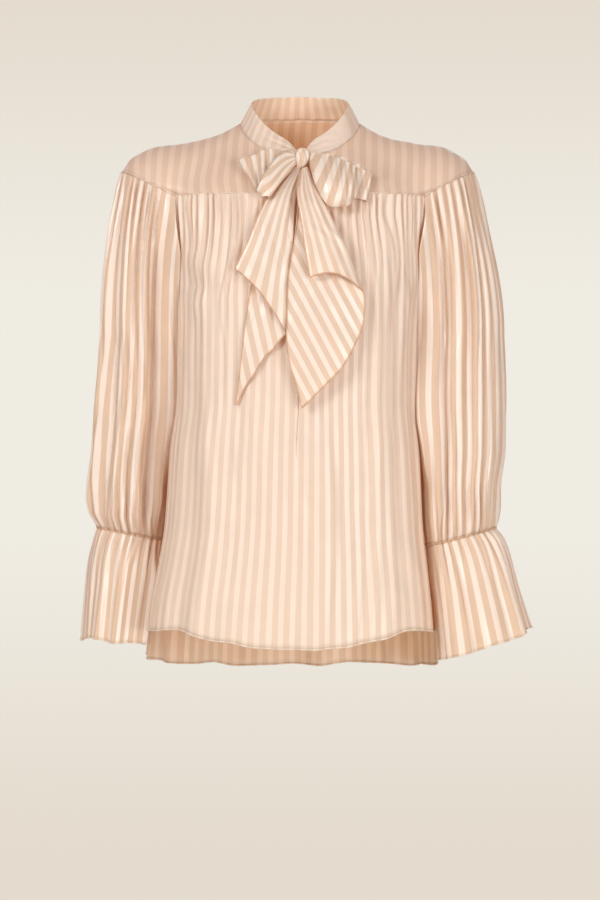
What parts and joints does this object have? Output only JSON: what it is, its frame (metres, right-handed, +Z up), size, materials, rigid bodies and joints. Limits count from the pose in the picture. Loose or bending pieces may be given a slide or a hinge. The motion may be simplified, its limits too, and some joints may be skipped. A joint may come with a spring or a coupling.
{
  "type": "blouse",
  "caption": "Long-sleeved striped silk blouse, gathered into a yoke, with flared cuffs and a band collar tied in a bow, worn shape, hollow and empty",
  "frame": {"origin": "the middle of the neck at the height of the shoulders, where the wearer's neck and shoulders carry the blouse", "axes": "+Z is up along the wearer's body, -Y is the front with the bow, +X is the wearer's left"},
  "size_m": [0.5621, 0.2794, 0.7234],
  "materials": {
    "striped_silk": "glossy satin stripes on a matt semi-sheer ground of the same cream and peach"
  },
  "bodies": {
    "root": {"back": "striped_silk", "bow_knot": "striped_silk", "bow_loop_left": "striped_silk", "bow_loop_right": "striped_silk", "collar": "striped_silk", "cuff_left": "striped_silk", "cuff_right": "striped_silk", "front": "striped_silk", "sleeve_left": "striped_silk", "sleeve_right": "striped_silk", "tie_end_left": "striped_silk", "tie_end_right": "striped_silk", "yoke_back": "striped_silk", "yoke_front_left": "striped_silk", "yoke_front_right": "striped_silk"}
  },
  "joints": []
}
